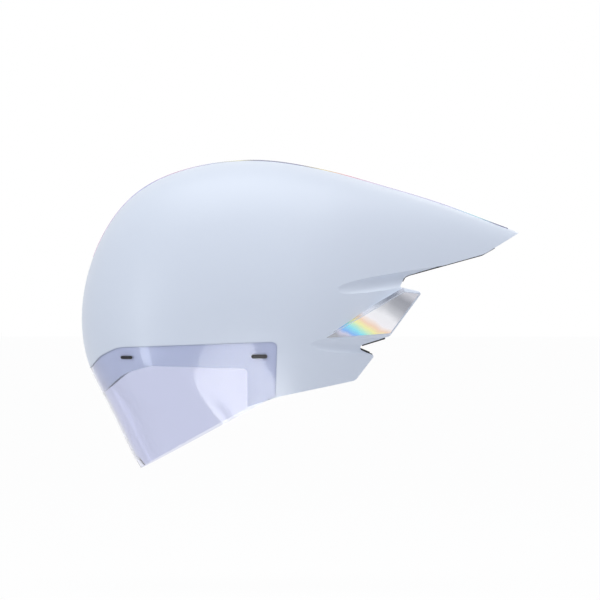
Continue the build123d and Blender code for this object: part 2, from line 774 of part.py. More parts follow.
with BuildPart() as dial_knob:
    with BuildSketch(dial_plane(knob_front)):
        Circle(KNOB_RADIUS)
        with PolarLocations(KNOB_RADIUS, KNOB_GRIPS):
            Circle(KNOB_GRIP_RADIUS, mode=Mode.SUBTRACT)
    extrude(amount=KNOB_THICKNESS)
    chamfer(dial_knob.faces().sort_by(Axis((0, 0, 0), fit_plane.x_dir))[-1].edges(), length=KNOB_CHAMFER)
    with BuildSketch(dial_plane(knob_front)):
        Circle(KNOB_RECESS_RADIUS)
    extrude(amount=SPRING_THICKNESS, mode=Mode.SUBTRACT)
    add(dial_pinion.part, mode=Mode.SUBTRACT)
save(dial_knob.part, "dial_knob")

# Height adjuster: the runner climbs the rail and a short strap carries the cradle
with BuildPart() as height_runner:
    with BuildSketch(head_plane.offset(RUNNER_LOW)):
        with Locations((RAIL_FACE_X - RUN_GAP, 0)):
            Rectangle(RUNNER_PLATE, RAIL_WIDTH - RUN_GAP * 2, align=(Align.MAX, Align.CENTER))
            Rectangle(SLOT_STEP + RUN_GAP * 3, SLOT_NECK - RUN_GAP * 2, align=(Align.MIN, Align.CENTER))
        with Locations((RAIL_FACE_X + SLOT_STEP + RUN_GAP, 0)):
            Rectangle(
                SLOT_DEPTH - SLOT_STEP - RUN_GAP * 2,
                SLOT_HEAD - RUN_GAP * 2,
                align=(Align.MIN, Align.CENTER),
            )
    extrude(amount=RUNNER_HEIGHT)
save(height_runner.part, "height_runner")

strap_top = head_plane.from_local_coords(Vector(RAIL_FACE_X - RUN_GAP - RUNNER_PLATE / 2, 0, RUNNER_LOW))
strap_foot = fit_plane.from_local_coords(Vector(cradle_front + CRADLE_THICKNESS / 2, 0, CRADLE_HEIGHT / 2))
with BuildPart() as cradle_hanger:
    with BuildSketch(Plane.XZ):
        with BuildLine():
            hanger = Spline(
                (strap_top.X, strap_top.Z),
                (strap_foot.X, strap_foot.Z),
                tangents=[
                    (-head_plane.z_dir.X, -head_plane.z_dir.Z),
                    (-fit_plane.z_dir.X, -fit_plane.z_dir.Z),
                ],
            )
        trace(hanger, line_width=CARRIER_STRAP_THICKNESS)
    extrude(amount=CARRIER_STRAP_WIDTH / 2, both=True)
save(cradle_hanger.part, "cradle_hanger")

# Buckle: base and catch are extrusions that lock by a tongue and slide apart upwards
buckle_angle = radians(BUCKLE_ANGLE)
web_long = HEAD_LONG - WEB_DEPTH - WEB_THICKNESS - BUCKLE_INSET
web_half = HEAD_HALF - WEB_DEPTH - WEB_THICKNESS - BUCKLE_INSET
buckle_x = web_long * cos(buckle_angle) - WEB_Z * tan(radians(HEAD_TILT))
buckle_y = -web_half * sin(buckle_angle)
buckle_inward = Vector(-cos(buckle_angle) / web_long, sin(buckle_angle) / web_half, 0).normalized()
buckle_plane = Plane(
    origin=(buckle_x, buckle_y, WEB_Z - BUCKLE_HEIGHT / 2),
    x_dir=buckle_inward.cross(Vector(0, 0, 1)),
    z_dir=(0, 0, 1),
)


def tongue(grow):
    low = BUCKLE_HEIGHT - TONGUE_HEIGHT - grow
    with BuildPart() as piece:
        with BuildSketch(buckle_plane.offset(low)):
            with Locations((-TONGUE_STEP, BUCKLE_THICKNESS / 2)):
                Rectangle(TONGUE_STEP + SOFT_GAP, TONGUE_NECK + grow * 2, align=(Align.MIN, Align.CENTER))
                Rectangle(TONGUE_THICKNESS + grow * 2, TONGUE_HEAD + grow * 2)
        extrude(amount=BUCKLE_HEIGHT - low)
    return piece.part


with BuildPart() as buckle_base:
    with BuildSketch(buckle_plane):
        Rectangle(BUCKLE_LENGTH / 2, BUCKLE_THICKNESS, align=(Align.MAX, Align.MIN))
    extrude(amount=BUCKLE_HEIGHT)
    add(tongue(RUN_GAP), mode=Mode.SUBTRACT)
save(buckle_base.part, "buckle_base")

with BuildPart() as buckle_catch:
    with BuildSketch(buckle_plane):
        with Locations((SOFT_GAP, 0)):
            Rectangle(BUCKLE_LENGTH / 2, BUCKLE_THICKNESS, align=(Align.MIN, Align.MIN))
    extrude(amount=BUCKLE_HEIGHT)
    add(tongue(0))
save(buckle_catch.part, "buckle_catch")

# Webbing: dividers behind the ear flaps, two legs a side, and the chin strap through the buckle
with BuildPart() as strap_anchors:
    add(head_layer(-ANCHOR_DEPTH, ANCHOR_DEPTH + WEB_DEPTH))
    with BuildSketch(Plane.XZ):
        with Locations(FRONT_ANCHOR, REAR_ANCHOR):
            Circle(ANCHOR_RADIUS)
    extrude(amount=WIDTH, both=True, mode=Mode.INTERSECT)
save(strap_anchors.part, "strap_anchors")

web_layer = head_layer(WEB_DEPTH, WEB_THICKNESS)
dividers = []
for side, side_name in SIDES:
    with BuildPart() as divider:
        add(head_layer(WEB_DEPTH, DIVIDER_THICKNESS))
        with BuildSketch(Plane.XZ):
            with Locations((DIVIDER_X, DIVIDER_Z)):
                RectangleRounded(*DIVIDER)
        extrude(amount=-side * WIDTH, mode=Mode.INTERSECT)
    dividers.append(divider.part)
    save(divider.part, f"strap_divider_{side_name}")
    legs = (("front_strap", FRONT_ANCHOR, FRONT_LEG_DROP), ("rear_strap", REAR_ANCHOR, REAR_LEG_DROP))
    for leg_name, anchor, drop in legs:
        with BuildPart() as leg:
            with BuildSketch(Plane.XZ):
                with BuildLine():
                    run = Line(anchor, (DIVIDER_X, DIVIDER_Z + drop))
                trace(run, line_width=LEG_WIDTH)
                with Locations(anchor):
                    Circle(ANCHOR_RADIUS)
            extrude(amount=-side * WIDTH)
            add(web_layer, mode=Mode.INTERSECT)
            add(divider.part, mode=Mode.SUBTRACT)
        save(leg.part.solids().sort_by(SortBy.VOLUME)[-1], f"{leg_name}_{side_name}")

with BuildPart() as chin_web:
    add(web_layer)
    with BuildSketch(Plane.XZ):
        with Locations((DIVIDER_X, WEB_Z)):
            Rectangle(LENGTH / 2, WEB_WIDTH, align=(Align.MIN, Align.CENTER))
    extrude(amount=WIDTH, both=True, mode=Mode.INTERSECT)
    for divider_part in dividers:
        add(divider_part, mode=Mode.SUBTRACT)
    with BuildSketch(buckle_plane):
        with Locations((SOFT_GAP / 2, 0)):
            Rectangle(BUCKLE_LENGTH + SOFT_GAP, BUCKLE_HEIGHT * 2)
    extrude(amount=BUCKLE_HEIGHT, mode=Mode.SUBTRACT)
chin_pieces = chin_web.part.solids().sort_by(Axis.Y)
save(chin_pieces[0], "chin_strap_left")
save(chin_pieces[-1], "chin_strap_right")
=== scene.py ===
# %% [markdown]
# # A time trial helmet
# A time trial helmet is a long teardrop of thin plastic over a foam liner, with a clear visor
# that magnets hold on. The solid model gives every part its true size and place. This lesson
# dresses it: lacquer on the shell, holographic film on the crown and the fins, tinted plastic for
# the visor, beaded foam, padding and webbing. Everything is in metres, and the front of the
# helmet points to -X.

from math import atan2, cos, exp, pi, radians, sin, sqrt

import bmesh
import bpy
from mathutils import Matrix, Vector
from mathutils.bvhtree import BVHTree
from mathutils.kdtree import KDTree


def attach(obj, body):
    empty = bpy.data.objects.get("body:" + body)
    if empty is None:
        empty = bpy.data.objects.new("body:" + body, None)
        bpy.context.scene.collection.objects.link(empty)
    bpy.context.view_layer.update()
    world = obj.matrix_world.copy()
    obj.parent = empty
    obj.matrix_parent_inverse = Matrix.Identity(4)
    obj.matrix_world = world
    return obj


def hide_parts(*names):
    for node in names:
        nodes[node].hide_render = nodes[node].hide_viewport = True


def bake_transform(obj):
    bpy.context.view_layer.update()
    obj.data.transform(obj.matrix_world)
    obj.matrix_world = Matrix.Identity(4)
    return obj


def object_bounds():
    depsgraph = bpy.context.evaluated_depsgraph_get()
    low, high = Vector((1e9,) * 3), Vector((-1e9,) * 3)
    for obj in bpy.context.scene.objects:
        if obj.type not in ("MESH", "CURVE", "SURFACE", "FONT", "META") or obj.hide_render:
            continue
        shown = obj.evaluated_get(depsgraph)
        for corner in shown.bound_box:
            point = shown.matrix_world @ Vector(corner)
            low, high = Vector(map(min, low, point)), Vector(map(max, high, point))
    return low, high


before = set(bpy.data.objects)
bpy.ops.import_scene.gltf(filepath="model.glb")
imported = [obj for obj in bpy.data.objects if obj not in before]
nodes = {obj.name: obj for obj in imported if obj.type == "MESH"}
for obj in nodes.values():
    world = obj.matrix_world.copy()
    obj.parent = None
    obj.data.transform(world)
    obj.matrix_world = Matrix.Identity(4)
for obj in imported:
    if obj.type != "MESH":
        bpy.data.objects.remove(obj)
cad_low, cad_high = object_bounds()
scene = bpy.context.scene
scene.view_settings.view_transform = "Standard"
print("loaded", len(nodes), "nodes, from", tuple(cad_low), "to", tuple(cad_high))

# %% [markdown]
# ## The camera
# The photograph is a level side view, taken from far off with a long lens, so that near and far
# sides of the helmet look the same size. A 300 mm lens four metres away does the same. The frame
# is square, and the camera looks straight along +Y at the middle of the frame.

# %% Place the camera
LENS_MM = 300
SENSOR_MM = 36
FRAME_WIDTH = 0.523
FRAME_CENTRE = Vector((0.0514, 0, 0.0227))
CAMERA_REACH = 100
camera_distance = FRAME_WIDTH * LENS_MM / SENSOR_MM

camera_data = bpy.data.cameras.new("camera")
camera_data.lens = LENS_MM
camera_data.sensor_width = SENSOR_MM
camera = bpy.data.objects.new("camera", camera_data)
scene.collection.objects.link(camera)
camera.location = FRAME_CENTRE - Vector((0, camera_distance, 0))
camera.rotation_euler = (radians(90), 0, 0)
camera_data.clip_end = CAMERA_REACH
scene.camera = camera
print("camera", round(camera_distance, 2), "m away")

# %% [markdown]
# ## Light
# Product photographs of white things need light from all round, with the top a little stronger,
# so that the form still reads. The world gives the even part. A wide lamp above gives the top its
# brightness, and tall soft boxes in front, beside the camera and behind shape the sides. A long
# tube light lies low beside the helmet, and its mirror image is the slanted band in the visor. It
# is seen in reflections only, and it adds no light to matte surfaces. The background is white for
# the camera, in reflections and through the visor, and it lights nothing else.

# %% The world
WORLD_LIGHT = 0.45
WORLD_TINT = (0.80, 0.845, 1.0, 1)

world = bpy.data.worlds.new("studio")
scene.world = world
world.use_nodes = True
world_tree = world.node_tree
world_tree.nodes.clear()
world_out = world_tree.nodes.new("ShaderNodeOutputWorld")
soft_light = world_tree.nodes.new("ShaderNodeBackground")
soft_light.inputs["Color"].default_value = WORLD_TINT
soft_light.inputs["Strength"].default_value = WORLD_LIGHT
backdrop = world_tree.nodes.new("ShaderNodeBackground")
backdrop.inputs["Color"].default_value = (1, 1, 1, 1)
backdrop.inputs["Strength"].default_value = 1


def seen_directly(tree):
    """1 for camera, glossy and transmitted rays, and 0 for the rays that light other things."""
    path = tree.nodes.new("ShaderNodeLightPath")
    seen = path.outputs["Is Camera Ray"]
    for kind in ("Is Glossy Ray", "Is Transmission Ray"):
        either = tree.nodes.new("ShaderNodeMath")
        either.operation = "MAXIMUM"
        tree.links.new(seen, either.inputs[0])
        tree.links.new(path.outputs[kind], either.inputs[1])
        seen = either.outputs[0]
    return seen


world_mix = world_tree.nodes.new("ShaderNodeMixShader")
world_tree.links.new(seen_directly(world_tree), world_mix.inputs[0])
world_tree.links.new(soft_light.outputs[0], world_mix.inputs[1])
world_tree.links.new(backdrop.outputs[0], world_mix.inputs[2])
world_tree.links.new(world_mix.outputs[0], world_out.inputs["Surface"])

# %% The lamps
LAMP_TARGET = Vector((0.05, 0, 0))
# Name, place, size, power and colour
LAMPS = (
    ("top_lamp", (0.05, -0.30, 1.5), (1.6, 1.2), 12.5, (0.98, 1.0, 1.0)),
    ("front_box", (-1.3, -1.1, 0.25), (0.25, 1.3), 4.6, (0.95, 0.99, 1.0)),
    ("side_box", (0.45, -1.9, 0.9), (0.3, 1.2), 1.2, (0.98, 0.99, 1.0)),
    ("back_box", (0.9, 1.2, 0.9), (0.9, 0.9), 2.5, (1.0, 0.99, 0.98)),
)

for lamp_name, place, (lamp_width, lamp_height), power, colour in LAMPS:
    lamp_data = bpy.data.lights.new(lamp_name, "AREA")
    lamp_data.shape = "RECTANGLE"
    lamp_data.size = lamp_width
    lamp_data.size_y = lamp_height
    lamp_data.energy = power
    lamp_data.color = colour
    lamp = bpy.data.objects.new(lamp_name, lamp_data)
    lamp.location = place
    lamp.rotation_euler = (LAMP_TARGET - lamp.location).to_track_quat("-Z", "Y").to_euler()
    scene.collection.objects.link(lamp)
print("lamps:", ", ".join(lamp[0] for lamp in LAMPS))

# %% A tube light that the visor mirrors
TUBE_START = Vector((0.035, -0.15, 0))
TUBE_END = Vector((-0.32, -1.40, 0))
TUBE_WIDTH = 0.035
TUBE_POWER = 1.3
TUBE_LIFT = 0.004

tube_run = TUBE_END - TUBE_START
tube_data = bpy.data.lights.new("tube_light", "AREA")
tube_data.shape = "RECTANGLE"
tube_data.size = TUBE_WIDTH
tube_data.size_y = tube_run.length
tube_data.energy = TUBE_POWER
tube = bpy.data.objects.new("tube_light", tube_data)
tube.location = (TUBE_START + TUBE_END) / 2 + Vector((0, 0, cad_low.z + TUBE_LIFT))
tube.rotation_euler = (pi, 0, atan2(-tube_run.x, tube_run.y) + pi)
tube.visible_diffuse = False
tube.visible_camera = False
tube.visible_transmission = False
scene.collection.objects.link(tube)
print("tube light", round(tube_run.length, 2), "m long")

# %% [markdown]
# ## A short way to write materials
# Every finish below starts from Blender's Principled shader and adds a pattern to its colour, its
# roughness or its bump. These helpers make the shader, set its constants on its own sockets, and
# add noise or cells.

# %% Material helpers
NOISE_LOW = 0.3
NOISE_HIGH = 0.7


def finish_material(name, colour, roughness, **sockets):
    """A material with a Principled shader. Returns the material, its tree and the shader."""
    material = bpy.data.materials.new(name)
    material.use_nodes = True
    tree = material.node_tree
    shader = tree.nodes["Principled BSDF"]
    shader.inputs["Base Color"].default_value = (*colour, 1)
    shader.inputs["Roughness"].default_value = roughness
    for socket, value in sockets.items():
        shader.inputs[socket.replace("_", " ")].default_value = value
    return material, tree, shader


def coordinates(tree, kind="Object", scale=(1, 1, 1), location=(0, 0, 0)):
    """Object or UV coordinates through a Mapping node."""
    source = tree.nodes.new("ShaderNodeTexCoord")
    mapping = tree.nodes.new("ShaderNodeMapping")
    mapping.inputs["Scale"].default_value = scale
    mapping.inputs["Location"].default_value = location
    tree.links.new(source.outputs[kind], mapping.inputs["Vector"])
    return mapping.outputs["Vector"]


def noise(tree, where, scale, detail=3, distortion=0):
    """Soft random values round 0.5, from 0 to 1."""
    node = tree.nodes.new("ShaderNodeTexNoise")
    node.inputs["Scale"].default_value = scale
    node.inputs["Detail"].default_value = detail
    node.inputs["Distortion"].default_value = distortion
    tree.links.new(where, node.inputs["Vector"])
    return node.outputs["Fac"]


def cells(tree, where, scale, feature="F1"):
    """Distances to the middle, or to the edge, of cells like those in foam."""
    node = tree.nodes.new("ShaderNodeTexVoronoi")
    node.feature = feature
    node.inputs["Scale"].default_value = scale
    tree.links.new(where, node.inputs["Vector"])
    return node.outputs["Distance"]


def ramp(tree, value, stops):
    """A colour ramp with (place, colour) stops."""
    node = tree.nodes.new("ShaderNodeValToRGB")
    elements = node.color_ramp.elements
    while len(elements) < len(stops):
        elements.new(1)
    for element, (place, colour) in zip(elements, stops):
        element.position = place
        element.color = (*colour, 1)
    tree.links.new(value, node.inputs["Fac"])
    return node.outputs["Color"]


def span(tree, value, low, high, to_low, to_high):
    """Moves a value from one range to another."""
    node = tree.nodes.new("ShaderNodeMapRange")
    limits = {"From Min": low, "From Max": high, "To Min": to_low, "To Max": to_high}
    for socket, number in limits.items():
        node.inputs[socket].default_value = number
    tree.links.new(value, node.inputs["Value"])
    return node.outputs["Result"]


def maths(tree, operation, first, second):
    """One Math node; either side is a socket or a number."""
    node = tree.nodes.new("ShaderNodeMath")
    node.operation = operation
    for place, given in enumerate((first, second)):
        if isinstance(given, (int, float)):
            node.inputs[place].default_value = given
        else:
            tree.links.new(given, node.inputs[place])
    return node.outputs[0]


def uneven_gloss(tree, shader, where, scale, low, high, detail=3):
    """Roughness that drifts between two values."""
    drift = noise(tree, where, scale, detail)
    rough = span(tree, drift, NOISE_LOW, NOISE_HIGH, low, high)
    tree.links.new(rough, shader.inputs["Roughness"])


def bump(tree, shader, height, distance, strength):
    """Small relief from a height value, distance metres tall."""
    node = tree.nodes.new("ShaderNodeBump")
    node.inputs["Distance"].default_value = distance
    node.inputs["Strength"].default_value = strength
    tree.links.new(height, node.inputs["Height"])
    tree.links.new(node.outputs["Normal"], shader.inputs["Normal"])


def separate(tree, where):
    """The X, Y and Z of coordinates, as outputs by name."""
    axes = tree.nodes.new("ShaderNodeSeparateXYZ")
    tree.links.new(where, axes.inputs[0])
    return axes.outputs


def give(material, *names):
    """Puts a material on CAD nodes, in place of the one they came with."""
    for name in names:
        nodes[name].data.materials.clear()
        nodes[name].data.materials.append(material)
    print(material.name, "on", ", ".join(names))


# %% [markdown]
# ## The white lacquer
# The shell is painted plastic with a satin clear coat. Up close such a coat isn't perfectly flat:
# it has a faint ripple, called orange peel, and the handling dulls it unevenly. A tiny bump and a
# slow change of roughness give both, and the white leans a little to blue.

# %% Shell lacquer
LACQUER_WHITE = (0.80, 0.85, 0.918)
LACQUER_SHADE = (0.785, 0.837, 0.91)
PEEL_HEIGHT = 0.00003

lacquer, tree, shader = finish_material(
    "white_lacquer", LACQUER_WHITE, roughness=0.42,
    Coat_Weight=0.25, Coat_Roughness=0.28, Specular_IOR_Level=0.4,
)
where = coordinates(tree)
uneven_gloss(tree, shader, where, scale=14, low=0.38, high=0.48, detail=4)
tones = ((0.3, LACQUER_WHITE), (0.75, LACQUER_SHADE))
tone = ramp(tree, noise(tree, where, scale=5, detail=2), tones)
tree.links.new(tone, shader.inputs["Base Color"])
bump(tree, shader, noise(tree, where, scale=900, detail=2), PEEL_HEIGHT, strength=0.6)
give(lacquer, "outer_shell")

# %% [markdown]
# ## The holographic film
# Holographic film is clear plastic pressed with lines so fine that they split light into colours,
# over a mirror. The colours run along the strip as it curves. A ramp along the length, bent by a
# slow noise, gives this without any picture. The ramp holds the film's own rainbow tints and also
# painted reflection: dark bands where the mirror reflected little light, fixed in the colour. The
# film on the fins has its colours at the low front corner and fades to plain silver at the back,
# with a painted highlight and a painted dark band between.

# %% Crown film
FILM_FRONT = -0.128
FILM_BACK = 0.233
FILM_DRIFT = 0.012
FILM_SLANT = 0.9
FILM_GRAIN_HEIGHT = 0.00002
# Rainbow stops are the film's own tints; the near-black navy stops are painted dark reflection
CROWN_TINTS_AND_PAINTED_REFLECTION = (
    (0.00, (0.80, 0.58, 0.74)),
    (0.09, (0.36, 0.38, 0.72)),
    (0.17, (0.78, 0.54, 0.70)),
    (0.25, (0.55, 0.60, 0.80)),
    (0.31, (0.86, 0.82, 0.56)),
    (0.36, (0.06, 0.07, 0.22)),
    (0.47, (0.10, 0.10, 0.30)),
    (0.53, (0.88, 0.78, 0.42)),
    (0.59, (0.85, 0.40, 0.48)),
    (0.66, (0.68, 0.62, 0.84)),
    (0.84, (0.66, 0.64, 0.88)),
    (0.91, (0.40, 0.76, 0.84)),
    (0.96, (0.06, 0.07, 0.24)),
)

crown_film, tree, shader = finish_material(
    "crown_film", (0.7, 0.65, 0.8), roughness=0.22, Metallic=0.75, Coat_Weight=0.6
)
where = coordinates(tree)
axes = separate(tree, where)
drift = noise(tree, where, scale=18, detail=2, distortion=1.2)
drift = span(tree, drift, 0, 1, -FILM_DRIFT, FILM_DRIFT)
length = maths(tree, "ADD", axes["X"], drift)
slant = maths(tree, "MULTIPLY", axes["Y"], FILM_SLANT)
place = span(tree, maths(tree, "ADD", length, slant), FILM_FRONT, FILM_BACK, 0, 1)
# Base colour: the film's tints, with its painted dark reflection bands
tree.links.new(ramp(tree, place, CROWN_TINTS_AND_PAINTED_REFLECTION), shader.inputs["Base Color"])
uneven_gloss(tree, shader, where, scale=60, low=0.16, high=0.3)
bump(tree, shader, cells(tree, where, scale=1400), FILM_GRAIN_HEIGHT, strength=0.5)
give(crown_film, "crown_foil")

# %% Fin film
FIN_LOW = Vector((0.088, 0, -0.010))
FIN_TURN = radians(56)
FIN_SPAN = 0.078
FIN_DRIFT = 0.004
# Rainbow and silver stops are the film's own; near-white stops are a painted highlight
FIN_TINTS_AND_PAINTED_REFLECTION = (
    # and the dark grey stops after them are a painted dark reflection
    (0.00, (0.42, 0.43, 0.47)),
    (0.05, (0.62, 0.62, 0.78)),
    (0.09, (0.26, 0.50, 0.94)),
    (0.15, (0.30, 0.80, 0.92)),
    (0.20, (0.55, 0.88, 0.66)),
    (0.25, (0.93, 0.90, 0.44)),
    (0.30, (0.95, 0.70, 0.52)),
    (0.37, (0.94, 0.92, 0.95)),
    (0.45, (0.90, 0.90, 0.93)),
    (0.53, (0.60, 0.61, 0.65)),
    (0.63, (0.40, 0.41, 0.45)),
    (0.72, (0.34, 0.35, 0.39)),
    (0.80, (0.62, 0.62, 0.67)),
)

fin_film, tree, shader = finish_material(
    "fin_film", (0.8, 0.8, 0.85), roughness=0.2, Metallic=0.8, Coat_Weight=0.6
)
where = coordinates(tree, location=-FIN_LOW)
axes = separate(tree, where)
rise = maths(tree, "MULTIPLY", axes["Z"], sin(FIN_TURN))
run = maths(tree, "MULTIPLY", axes["X"], cos(FIN_TURN))
drift = noise(tree, where, scale=40, detail=2, distortion=1)
drift = span(tree, drift, 0, 1, -FIN_DRIFT, FIN_DRIFT)
place = span(tree, maths(tree, "ADD", maths(tree, "ADD", rise, run), drift), 0, FIN_SPAN, 0, 1)
# Base colour: the fin film's tints, with its painted highlight and painted dark band
tree.links.new(ramp(tree, place, FIN_TINTS_AND_PAINTED_REFLECTION), shader.inputs["Base Color"])
uneven_gloss(tree, shader, where, scale=90, low=0.14, high=0.26)
bump(tree, shader, cells(tree, where, scale=1600), FILM_GRAIN_HEIGHT, strength=0.5)
give(fin_film, "fin_foil_left", "fin_foil_right")

# %% [markdown]
# ## The visor
# The visor is a lens of polycarbonate with a faint lavender tint. Light crosses two layers of it,
# the near side and the far side, so the tint is set for one layer. A real lens is smooth, with a
# hard coat that shows long reflections, so its roughness stays low. A very slow noise stands for
# wiped smears, which only gloss shows.

# %% Visor lens
LENS_TINT = (0.77, 0.79, 0.91)
LENS_EDGE_TINT = (0.60, 0.61, 0.76)
LENS_SLOPE_BLEND = 0.4
SMEAR_LIMITS = (0.35, 0.75)
SMEAR_ROUGHNESS = (0.02, 0.07)

lens, tree, shader = finish_material(
    "visor_lens_clear", LENS_TINT, roughness=0.03,
    Transmission_Weight=1.0, IOR=1.2, Coat_Weight=0.48, Coat_Roughness=0.13,
)
slope = tree.nodes.new("ShaderNodeLayerWeight")
slope.inputs["Blend"].default_value = LENS_SLOPE_BLEND
tint = ramp(tree, slope.outputs["Facing"], ((0.2, LENS_TINT), (0.9, LENS_EDGE_TINT)))
tree.links.new(tint, shader.inputs["Base Color"])
smears = noise(tree, coordinates(tree), scale=22)
tree.links.new(span(tree, smears, *SMEAR_LIMITS, *SMEAR_ROUGHNESS), shader.inputs["Roughness"])
give(lens, "visor_lens")

# %% [markdown]
# ## Magnets and steel
# The magnets are bars of coated steel with black lacquer. The detent spring inside the dial is
# bare steel, brushed in one direction, which a stretched noise shows.

# %% Magnets and spring
DEEP_BLACK = (0.012, 0.012, 0.014)
STEEL_GREY = (0.62, 0.62, 0.64)
LACQUER_GRAIN_HEIGHT = 0.00002
BRUSH_STRETCH = (1, 1, 14)

magnet_black, tree, shader = finish_material(
    "magnet_black", DEEP_BLACK, roughness=0.35, Metallic=0.3
)
where = coordinates(tree)
uneven_gloss(tree, shader, where, scale=400, low=0.3, high=0.5)
bump(tree, shader, noise(tree, where, scale=1500, detail=2), LACQUER_GRAIN_HEIGHT, strength=0.5)
give(magnet_black, "visor_magnets", "magnet_keepers")

spring_steel, tree, shader = finish_material(
    "spring_steel", STEEL_GREY, roughness=0.3, Metallic=1.0
)
uneven_gloss(tree, shader, coordinates(tree, scale=BRUSH_STRETCH), scale=260, low=0.22, high=0.42)
give(spring_steel, "detent_spring")

# %% [markdown]
# ## Beaded foam
# The liner is expanded foam: beads a few millimetres across, swollen in a mould until they press
# flat against each other. Cells with a dark seam between them look like this, and the skin that
# touched the mould is smooth, so the bump is low. Fine dust greys the black a little.

# %% Liner foam
BEADS_PER_METRE = 330
BEAD_HEIGHT = 0.00025
BEAD_COLOURS = (
    (0.00, (0.006, 0.006, 0.007)),
    (0.12, (0.022, 0.022, 0.024)),
    (1.00, (0.030, 0.030, 0.033)),
)
BEAD_PROFILE = ((0.0, (0, 0, 0)), (0.18, (1, 1, 1)))

foam, tree, shader = finish_material(
    "black_beaded_foam", (0.018, 0.018, 0.020), roughness=0.75, Specular_IOR_Level=0.3
)
where = coordinates(tree)
edge = cells(tree, where, BEADS_PER_METRE, "DISTANCE_TO_EDGE")
tree.links.new(ramp(tree, edge, BEAD_COLOURS), shader.inputs["Base Color"])
uneven_gloss(tree, shader, where, scale=60, low=0.62, high=0.85)
bump(tree, shader, ramp(tree, edge, BEAD_PROFILE), BEAD_HEIGHT, strength=0.7)
give(foam, "eps_liner")

# %% [markdown]
# ## Moulded black plastic
# The fit system is nylon, moulded in tools with a spark-etched grain. It is nearly black with a
# soft sheen, and the patches that fingers rub are a little lighter and glossier. The dial is
# softer plastic with a finer grain.

# %% Fit system plastic
GRAIN_HEIGHT = 0.00006
WORN_GAIN = 1.5
WORN_LIFT = 0.004


def moulded(name, colour, low, high, grain, *names):
    """Dark moulded plastic for CAD nodes. Its roughness lies between low and high."""
    material, tree, shader = finish_material(name, colour, (low + high) / 2)
    where = coordinates(tree)
    worn = tuple(channel * WORN_GAIN + WORN_LIFT for channel in colour)
    tone = ramp(tree, noise(tree, where, scale=70), ((0.3, colour), (0.8, worn)))
    tree.links.new(tone, shader.inputs["Base Color"])
    uneven_gloss(tree, shader, where, scale=130, low=low, high=high)
    bump(tree, shader, cells(tree, where, grain), GRAIN_HEIGHT, strength=0.6)
    give(material, *names)


moulded(
    "band_nylon", (0.020, 0.020, 0.022), 0.42, 0.58, 1300,
    "head_band", "temple_anchors", "cradle", "height_rail", "height_runner", "cradle_hanger",
    "rack_left", "rack_right", "side_belt_left", "side_belt_right", "dial_pinion", "strap_anchors",
)
moulded(
    "housing_nylon", (0.028, 0.028, 0.031), 0.32, 0.46, 1700, "housing_cover", "dial_housing"
)
moulded("dial_rubber", (0.035, 0.035, 0.038), 0.55, 0.72, 2200, "dial_knob")
moulded(
    "buckle_acetal", (0.016, 0.016, 0.018), 0.24, 0.36, 1900,
    "buckle_base", "buckle_catch", "strap_divider_left", "strap_divider_right",
)

# %% [markdown]
# ## Padding
# Helmet pads are open-cell foam under a knitted spacer fabric, welded flat round the rim. The
# solids give their place and thickness only. Each pad starts from a copy of its solid, remeshed
# into even faces. Blender's cloth solver then swells it with a little air pressure, and no vertex
# may move far or towards the liner. After that the rim is pressed thin and a few channels are
# sunk into the side that meets the head.

# %% Fabric of the pads
HOLES_PER_METRE = 620
THREAD_SHARE = 0.35
KNIT_HEIGHT = 0.0004
KNIT_COLOURS = (
    (0.10, (0.012, 0.012, 0.014)),
    (0.42, (0.050, 0.050, 0.055)),
    (0.80, (0.075, 0.075, 0.082)),
)

pad_fabric, tree, shader = finish_material(
    "pad_spacer_knit", (0.045, 0.045, 0.05), roughness=0.9,
    Sheen_Weight=0.35, Sheen_Roughness=0.45,
)
where = coordinates(tree)
holes = cells(tree, where, HOLES_PER_METRE)
tree.links.new(ramp(tree, holes, KNIT_COLOURS), shader.inputs["Base Color"])
threads = maths(tree, "MULTIPLY", noise(tree, where, scale=2600, detail=2), THREAD_SHARE)
bump(tree, shader, maths(tree, "ADD", holes, threads), KNIT_HEIGHT, strength=0.8)

# %% New pieces from meshes
MERGE_DISTANCE = 1e-6


def welded(node):
    """A mesh to edit with a CAD node's shape, its loose triangles joined."""
    mesh = bmesh.new()
    mesh.from_mesh(nodes[node].data)
    bmesh.ops.remove_doubles(mesh, verts=mesh.verts, dist=MERGE_DISTANCE)
    return mesh


def new_piece(name, mesh, material):
    """A new object of the edited mesh, in one material."""
    data = bpy.data.meshes.new(name)
    mesh.to_mesh(data)
    mesh.free()
    data.materials.append(material)
    piece = bpy.data.objects.new(name, data)
    scene.collection.objects.link(piece)
    return piece


# %% Swelling a pad with cloth
PAD_PRESSURE = 4
PAD_FRAMES = 12
SWELL_LIMIT = 0.0011
HEAD_CENTRE = Vector((0, 0, 0.01))


def apply_modifiers(piece):
    """Puts what the modifiers make into the mesh, and removes them."""
    graph = bpy.context.evaluated_depsgraph_get()
    made = bpy.data.meshes.new_from_object(piece.evaluated_get(graph))
    piece.modifiers.clear()
    piece.data = made


def to_head(point):
    """The direction from a point to the middle of the head."""
    return (HEAD_CENTRE - point).normalized()


